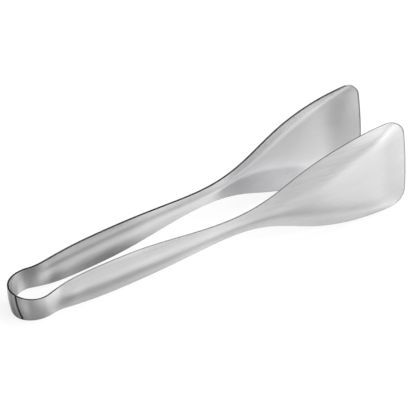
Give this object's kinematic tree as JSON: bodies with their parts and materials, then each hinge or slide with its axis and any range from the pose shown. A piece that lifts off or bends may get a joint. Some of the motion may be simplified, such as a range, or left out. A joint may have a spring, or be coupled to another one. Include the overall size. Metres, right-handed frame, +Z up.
{
  "type": "bread tongs",
  "caption": "Looped, sprung serving tongs in satin sheet steel: a round bow, channel-shaped handles and broad scooped blades with square ends, at rest on edge.",
  "frame": {"origin": "bottom centre of the tongs' box, on the surface they stand on", "axes": "+X from the bow to the blade tips, +Y towards the left arm, +Z up across the sheet's width"},
  "size_m": [0.2365, 0.0518, 0.0598],
  "materials": {
    "satin_steel": "satin stainless sheet, fine brushing along the tongs"
  },
  "bodies": {
    "bow": {"left_bow_half": "satin_steel", "right_bow_half": "satin_steel"},
    "left_arm": {"left_arm": "satin_steel"},
    "right_arm": {"right_arm": "satin_steel"}
  },
  "joints": [
    {"name": "left_arm_squeeze", "type": "hinge", "parent": "bow", "child": "left_arm", "pos_m": [-0.10396, 0.013, 0.00916], "axis": [0.0998, 0, -0.995], "range_deg": [-2, 5.4], "stiffness_Nm_per_rad": 6.7},
    {"name": "right_arm_squeeze", "type": "hinge", "parent": "bow", "child": "right_arm", "pos_m": [-0.10396, -0.013, 0.00916], "axis": [-0.0998, 0, 0.995], "range_deg": [-2, 5.4], "stiffness_Nm_per_rad": 6.7}
  ],
  "couplings": [
    {"joint": "right_arm_squeeze", "follows": "left_arm_squeeze", "ratio": 1}
  ]
}
